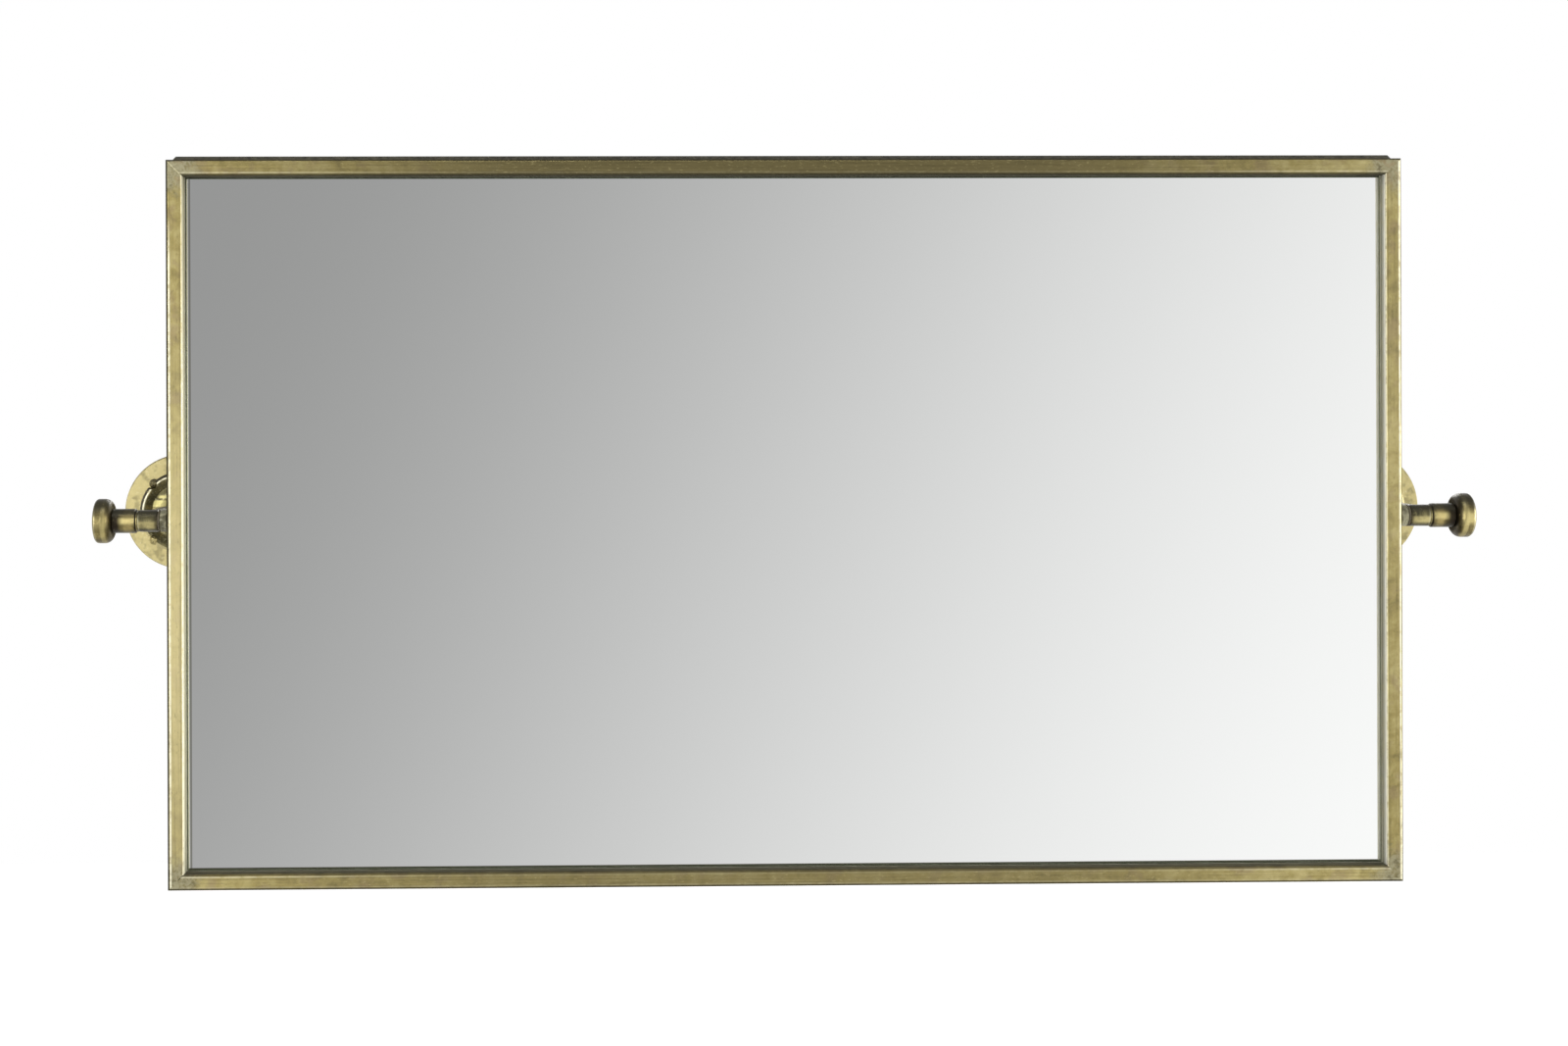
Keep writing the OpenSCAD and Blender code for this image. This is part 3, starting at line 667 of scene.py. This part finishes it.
def lathe_brass(name, tones, marks, streak, streak_at, under=0.72, left_share=1.0):
    """Aged brass turned about the tilt axis: painted shade above and below, a painted highlight
    (streak) in front.

    marks are bands along the axis: distance from the middle, half width, softness, tone and share.
    streak is the streak's share and streak_at how far it faces up; under is the painted shade's
    share below.
    left_share is how much of the streak the left piece has; the rest makes it plainer.
    """
    material, g = new_material(name)
    where = g.place()
    x = g.split(where)[0]
    facing = g.normal()
    outward = g.math("ABSOLUTE", x)
    lines = g.noise(where, **LATHE_LINES)
    mottle = g.noise(where, **LATHE_MOTTLE)
    speck = g.noise(where, **LATHE_SPECK)
    colour = g.ramp(mottle, LATHE_RAMP, tones)
    colour = g.tint(colour, lines, *LATHE_LINE_TINT)
    side_share = g.step(x, *LEFT_TO_RIGHT, left_share, 1.0)
    # The streak is a painted highlight.
    streak_sheen = g.times(g.band(facing[2], streak_at, *STREAK_WIDTH), g.step(facing[1], *STREAK_FRONT),
                   streak, side_share)
    colour = g.mix(g.times(streak_sheen, g.step(mottle, *STREAK_BREAKUP)), colour, STREAK_GOLD)
    # Marks: painted shade where the pieces meet, and painted highlights.
    for place, half, soft, level, share in marks:
        colour = g.mix(g.times(g.band(outward, place, half, soft), share), colour, level)
    plainer = g.step(side_share, left_share, 1.0, (1.0 - left_share) / 2, 0.0)
    colour = g.mix(plainer, colour, tones[1])
    # Painted shade on the faces turned up and down.
    above, below = g.step(facing[2], *SHADE_ABOVE), g.step(facing[2], *BELOW, 0.0, under)
    up_down_shade = g.math("MAXIMUM", above, below)
    colour = g.mix(up_down_shade, colour, UP_DOWN_SHADE_TONE)
    colour = g.tint(colour, speck, *LATHE_SPECK_TINT)
    g.surface(Base_Color=colour, Roughness=g.step(mottle, *LATHE_ROUGHNESS),
              Metallic=g.math("SUBTRACT", LATHE_METAL, g.times(up_down_shade, LATHE_DULLNESS)),
              Normal=g.bump(g.weigh(lines, speck), *LATHE_BUMP))
    return material


# Painted shade where the neck meets the head and the washer, and a painted golden highlight
# between.
NECK_MARKS = [
    (HEAD_LOW[0], 3.2 * MM, 5.0 * MM, JOINT_SHADE, 0.97),
    (NECK_LOW[0], 0.2 * MM, 0.5 * MM, JOINT_SHADE, 0.8),
    (NECK_LOW[0] + 4.5 * MM, 1.2 * MM, 2.5 * MM, NECK_GOLD, 0.35),
]
# Painted shade at the head's shoulder, painted highlights on the shoulder and near the outer end.
HEAD_MARKS = [
    (HEAD_LOW[0], 1.4 * MM, 1.6 * MM, JOINT_SHADE, 0.85),
    (HEAD_LOW[0] + 4.4 * MM, 0.8 * MM, 1.2 * MM, STREAK_GOLD, 0.4),
    (HEAD_HIGH[0] - 2.2 * MM, 0.1 * MM, 0.5 * MM, CREAM, 0.4),
]
# Painted shade at the barrel's inner end, a painted highlight at its outer end.
BARREL_MARKS = [
    (BARREL_LOW[0], 0.8 * MM, 2.2 * MM, JOINT_SHADE, 0.7),
    (BARREL_HIGH[0] - 0.6 * MM, 0.3 * MM, 0.5 * MM, CREAM, 0.4),
]
# Painted shade where the washer meets the neck.
RING_MARKS = [
    (NECK_LOW[0], 0.6 * MM, 0.3 * MM, JOINT_SHADE, 0.95),
]
# Each kind of brass piece on both sides.
TURNED_PIECES = {
    "knob_neck": lathe_brass("neck_brass", KNOB_TONES, NECK_MARKS, streak=0.75, streak_at=0.05),
    "knob_head": lathe_brass("head_brass", KNOB_TONES, HEAD_MARKS, streak=0.6, streak_at=-0.05,
                             under=0.35, left_share=0.4),
    "barrel": lathe_brass("barrel_brass", BARREL_TONES, BARREL_MARKS, streak=0.55, streak_at=-0.35),
    "outer_washer": lathe_brass("ring_brass", RING_TONES, RING_MARKS, streak=0.3, streak_at=0.0),
    "post": turned_brass("arm_brass", dark=0.35),
    "flange": flange_surface(),
    "wall_plate": turned_brass("plate_brass", pale=0.85, spark=0.4, shade_share=0.5),
    # The upper wall screw gets painted shade from dark_above.
    "wall_screws": turned_brass("wall_screw_brass", pale=0.6, dark_above=0.75),
}
for side in SIDES:
    for piece, material in TURNED_PIECES.items():
        dress(material, side + "_" + piece)
dress(turned_brass("screw_brass", dark=0.2), "panel_screws")

# ------------------------------------------------ plain steel, washers, tape and board
STEEL_RINGS = {"per_metre": (1600, 90, 90), "detail": 2}
STEEL_HAZE = {"per_metre": 160.0, "detail": 4, "rough": 0.6}
STEEL_SPECKS = {"per_metre": 520.0, "detail": 3, "rough": 0.7, "shift": (3, 1, 2)}
STEEL_HAZE_FADE = (0.4, 0.65)
STEEL_RING_TINT = (0.5, 0.35, 0.3, STEEL_RING)
STEEL_SPECK_TINT = (0.57, 0.72, 0.6, STEEL_SPECK)
STEEL_METAL = 0.8
STEEL_ROUGHNESS = (0.3, 0.7, 0.36, 0.52)
STEEL_BUMP = (0.00008, 0.4)


def steel():
    """Turned steel of the boss, the stud and the arm's screw, hazy and speckled."""
    material, g = new_material("plain_steel")
    where = g.place()
    rings = g.noise(where, **STEEL_RINGS)
    haze = g.noise(where, **STEEL_HAZE)
    colour = g.mix(g.step(haze, *STEEL_HAZE_FADE), STEEL_PALE, STEEL_DARK)
    colour = g.tint(colour, rings, *STEEL_RING_TINT)
    colour = g.tint(colour, g.noise(where, **STEEL_SPECKS), *STEEL_SPECK_TINT)
    g.surface(Base_Color=colour, Metallic=STEEL_METAL, Roughness=g.step(haze, *STEEL_ROUGHNESS),
              Normal=g.bump(rings, *STEEL_BUMP))
    return material


DULL_GRAIN = {"detail": 5, "rough": 0.65}
DULL_CLOUDS = {"per_metre": 12.0, "detail": 3, "shift": (2, 2, 2)}
GRAIN_FADE = (0.35, 0.65)
CLOUD_FADE = (0.35, 0.7, 0.35)
DULL_BUMP_STRENGTH = 0.6


def dull(name, first, second, per_metre, roughness, depth):
    """A matt material whose grain is a noise between two tones."""
    material, g = new_material(name)
    where = g.place()
    grain = g.noise(where, per_metre, **DULL_GRAIN)
    colour = g.mix(g.step(grain, *GRAIN_FADE), first, second)
    colour = g.tint(colour, g.noise(where, **DULL_CLOUDS), *CLOUD_FADE, first)
    g.surface(Base_Color=colour, Roughness=roughness,
              Normal=g.bump(grain, depth, DULL_BUMP_STRENGTH))
    return material


plain_steel = steel()
washer_fibre = dull("washer_fibre", FIBRE_DARK, FIBRE_PALE, per_metre=900.0,
                    roughness=0.8, depth=0.0002)
tape_foam = dull("tape_foam", FOAM_DARK, FOAM_PALE, per_metre=1300.0,
                 roughness=0.9, depth=0.0003)
dark_board = dull("dark_board", BOARD_DARK, BOARD_PALE, per_metre=(260.0, 260.0, 700.0),
                  roughness=0.72, depth=0.0003)
for side in SIDES:
    dress(plain_steel, side + "_pivot_boss", side + "_pivot_stud", side + "_arm_screw")
    dress(washer_fibre, side + "_inner_washer")
dress(tape_foam, "mounting_tape")
dress(dark_board, "back_panel")

# ------------------------------------------------ mirror glass
# The dark line near the silvering's edge: nearest and farthest from the bar's inner face, share.
EDGE_LINE = {
    "left": (2.3 * MM, 3.5 * MM, 0.95),
    "right": (2.3 * MM, 3.1 * MM, 0.45),
    "bottom": (1.3 * MM, 2.1 * MM, 0.9),
}
EDGE_LINE_INSET, EDGE_LINE_SOFT = 0.1 * MM, 0.2 * MM
FACING_FRONT, FACING_BACK = (-0.9, -0.995), (0.9, 0.995)
ON_THE_ARRIS = (-0.5, -0.65)
GLASS_GRIT = {"per_metre": 1500.0, "detail": 3}
GLASS_GRIT_FADE = (0.35, 0.65)
BACK_PAINT = {"per_metre": 420.0, "detail": 4}
BACK_PAINT_FADE = (0.4, 0.6)
ARRIS_METAL = 0.9
GROUND_ROUGHNESS, ARRIS_ROUGHNESS = 0.45, 0.2
POLISH = 0.198                                # how much smoother than the arris the front is


def silvered_glass():
    """Silvered in front with a dark line near its edge, ground edges, grey paint behind."""
    material, g = new_material("silvered_glass")
    where = g.place()
    x, y, z = g.split(where)
    facing_back = g.normal()[1]
    silver = SILVER
    for bar, (near, far, share) in EDGE_LINE.items():
        from_wall = g.apart(x if bar in SIDES else z, INNER_FACE[bar])
        half = (far - near) / 2 - EDGE_LINE_INSET
        line = g.band(from_wall, (near + far) / 2, half, EDGE_LINE_SOFT)
        silver = g.mix(g.times(line, share), silver, SILVER_LINE)
    front = g.step(facing_back, *FACING_FRONT)
    back = g.step(facing_back, *FACING_BACK)
    arris = g.step(facing_back, *ON_THE_ARRIS)
    grit = g.step(g.noise(where, **GLASS_GRIT), *GLASS_GRIT_FADE)
    edge = g.mix(grit, GLASS_EDGE_PALE, GLASS_EDGE_DARK)
    paint = g.step(g.noise(where, **BACK_PAINT), *BACK_PAINT_FADE)
    paint = g.mix(paint, BACK_PAINT_PALE, BACK_PAINT_DARK)
    colour = g.mix(back, g.mix(front, edge, silver), paint)
    rough = g.step(arris, 0.0, 1.0, GROUND_ROUGHNESS, ARRIS_ROUGHNESS)
    g.surface(Base_Color=colour, Metallic=g.math("MAXIMUM", front, g.times(arris, ARRIS_METAL)),
              Roughness=g.math("SUBTRACT", rough, g.times(front, POLISH)))
    return material


dress(silvered_glass(), "mirror_glass")

# ------------------------------------------------ floor
FLOOR_Z = -0.78
FLOOR_LEFT, FLOOR_RIGHT, FLOOR_NEAR, FLOOR_FAR = -2.4, 2.4, -1.5, 2.4
FLOOR_GLOW = 0.5                              # what the camera sees on top of the lit floor
FLOOR_SPECK = {"per_metre": 220.0, "detail": 3}


def add_floor():
    """A pale floor, which the camera sees almost white, and metal and glass don't see."""
    corners = [(FLOOR_LEFT, FLOOR_NEAR), (FLOOR_RIGHT, FLOOR_NEAR),
               (FLOOR_RIGHT, FLOOR_FAR), (FLOOR_LEFT, FLOOR_FAR)]
    mesh = bpy.data.meshes.new("floor")
    mesh.from_pydata([(x, y, FLOOR_Z) for x, y in corners], [], [(0, 1, 2, 3)])
    floor = bpy.data.objects.new("floor", mesh)
    scene.collection.objects.link(floor)
    material, g = new_material("pale_floor")
    colour = g.mix(g.noise(g.place(), **FLOOR_SPECK), FLOOR_DARK, FLOOR_PALE)
    matt = g.add("ShaderNodeBsdfDiffuse", Color=colour)
    glow = g.add("ShaderNodeEmission", Color=WHITE, Strength=FLOOR_GLOW)
    lit = g.chain("ShaderNodeAddShader", matt, glow)
    path = g.tree.nodes.new("ShaderNodeLightPath").outputs
    seen = g.chain("ShaderNodeMixShader", path["Is Camera Ray"], matt, lit)
    clear = g.add("ShaderNodeBsdfTransparent")
    g.output(g.chain("ShaderNodeMixShader", path["Is Glossy Ray"], seen, clear))
    mesh.materials.append(material)


add_floor()

# ------------------------------------------------ studio: a sweep of light and lamps
SWEEP_TILT = 27.0                             # degrees
# The sweep about its tilted axis: degrees from straight ahead, below zero to the left, and level.
SWEEP = [(-180, 0.95), (-75, 0.93), (-13.5, 0.335), (29, 1.09), (180, 1.0)]
OVERHEAD = (0.28, 0.75, 1.0, 0.42)            # where the sweep darkens upward, from 1 to its least


def add_world():
    """White for the camera; else a sweep of grey to white, darkest a little left of the camera."""
    world = bpy.data.worlds.new("studio")
    world.use_nodes = True
    scene.world = world
    g = Graph(world.node_tree)
    x, y, z = g.split(g.add("ShaderNodeTexCoord", out=0))
    slope = math.radians(SWEEP_TILT)
    sideways = g.math("SUBTRACT", g.times(x, math.cos(slope)), g.times(z, math.sin(slope)))
    angle = g.math("ARCTAN2", sideways, g.times(y, -1.0))
    around = g.math("DIVIDE", g.math("ADD", angle, math.pi), 2 * math.pi)
    places = [degrees / 360 + 0.5 for degrees, level in SWEEP]
    sweep = g.ramp(around, places, [grey(level) for degrees, level in SWEEP], "EASE")
    above = g.step(z, *OVERHEAD)
    sweep = g.mix(1.0, sweep, g.join(above, above, above), "MULTIPLY")
    room = g.add("ShaderNodeBackground", Color=sweep, Strength=1.0)
    backdrop = g.add("ShaderNodeBackground", Color=WHITE, Strength=1.0)
    path = g.tree.nodes.new("ShaderNodeLightPath").outputs
    seen = g.chain("ShaderNodeMixShader", path["Is Camera Ray"], room, backdrop)
    g.output(seen, "ShaderNodeOutputWorld")


# Each lamp: its place, what it points at, its width, height and power in watts.
LAMPS = {
    "left_box": ((-1.75, -2.0, 0.1), (-0.3, -0.1, 0.0), 1.0, 1.6, 26.0),
    "right_box": ((2.3, -1.0, 0.1), (0.3, -0.1, 0.0), 1.0, 1.6, 26.0),
    "top_box": ((0.0, -1.4, 2.2), (0.0, -0.1, 0.0), 1.8, 1.0, 22.0),
    "back_box": ((0.4, 2.2, 1.2), (0.0, 0.0, 0.0), 1.6, 1.0, 26.0),
}


def add_lamp(name, place, target, width, height, power):
    data = bpy.data.lights.new(name, "AREA")
    data.shape = "RECTANGLE"
    data.size = width
    data.size_y = height
    data.energy = power
    # Keeps the lamps' own shapes out of the mirror; the other surfaces are lit all the same.
    data.cycles.use_multiple_importance_sampling = False
    lamp = bpy.data.objects.new(name, data)
    aim = Vector(target) - Vector(place)
    lamp.rotation_euler = aim.to_track_quat("-Z", "Y").to_euler()
    lamp.location = place
    scene.collection.objects.link(lamp)


add_world()
for name, facts in LAMPS.items():
    add_lamp(name, *facts)
scene.view_settings.view_transform = "Standard"
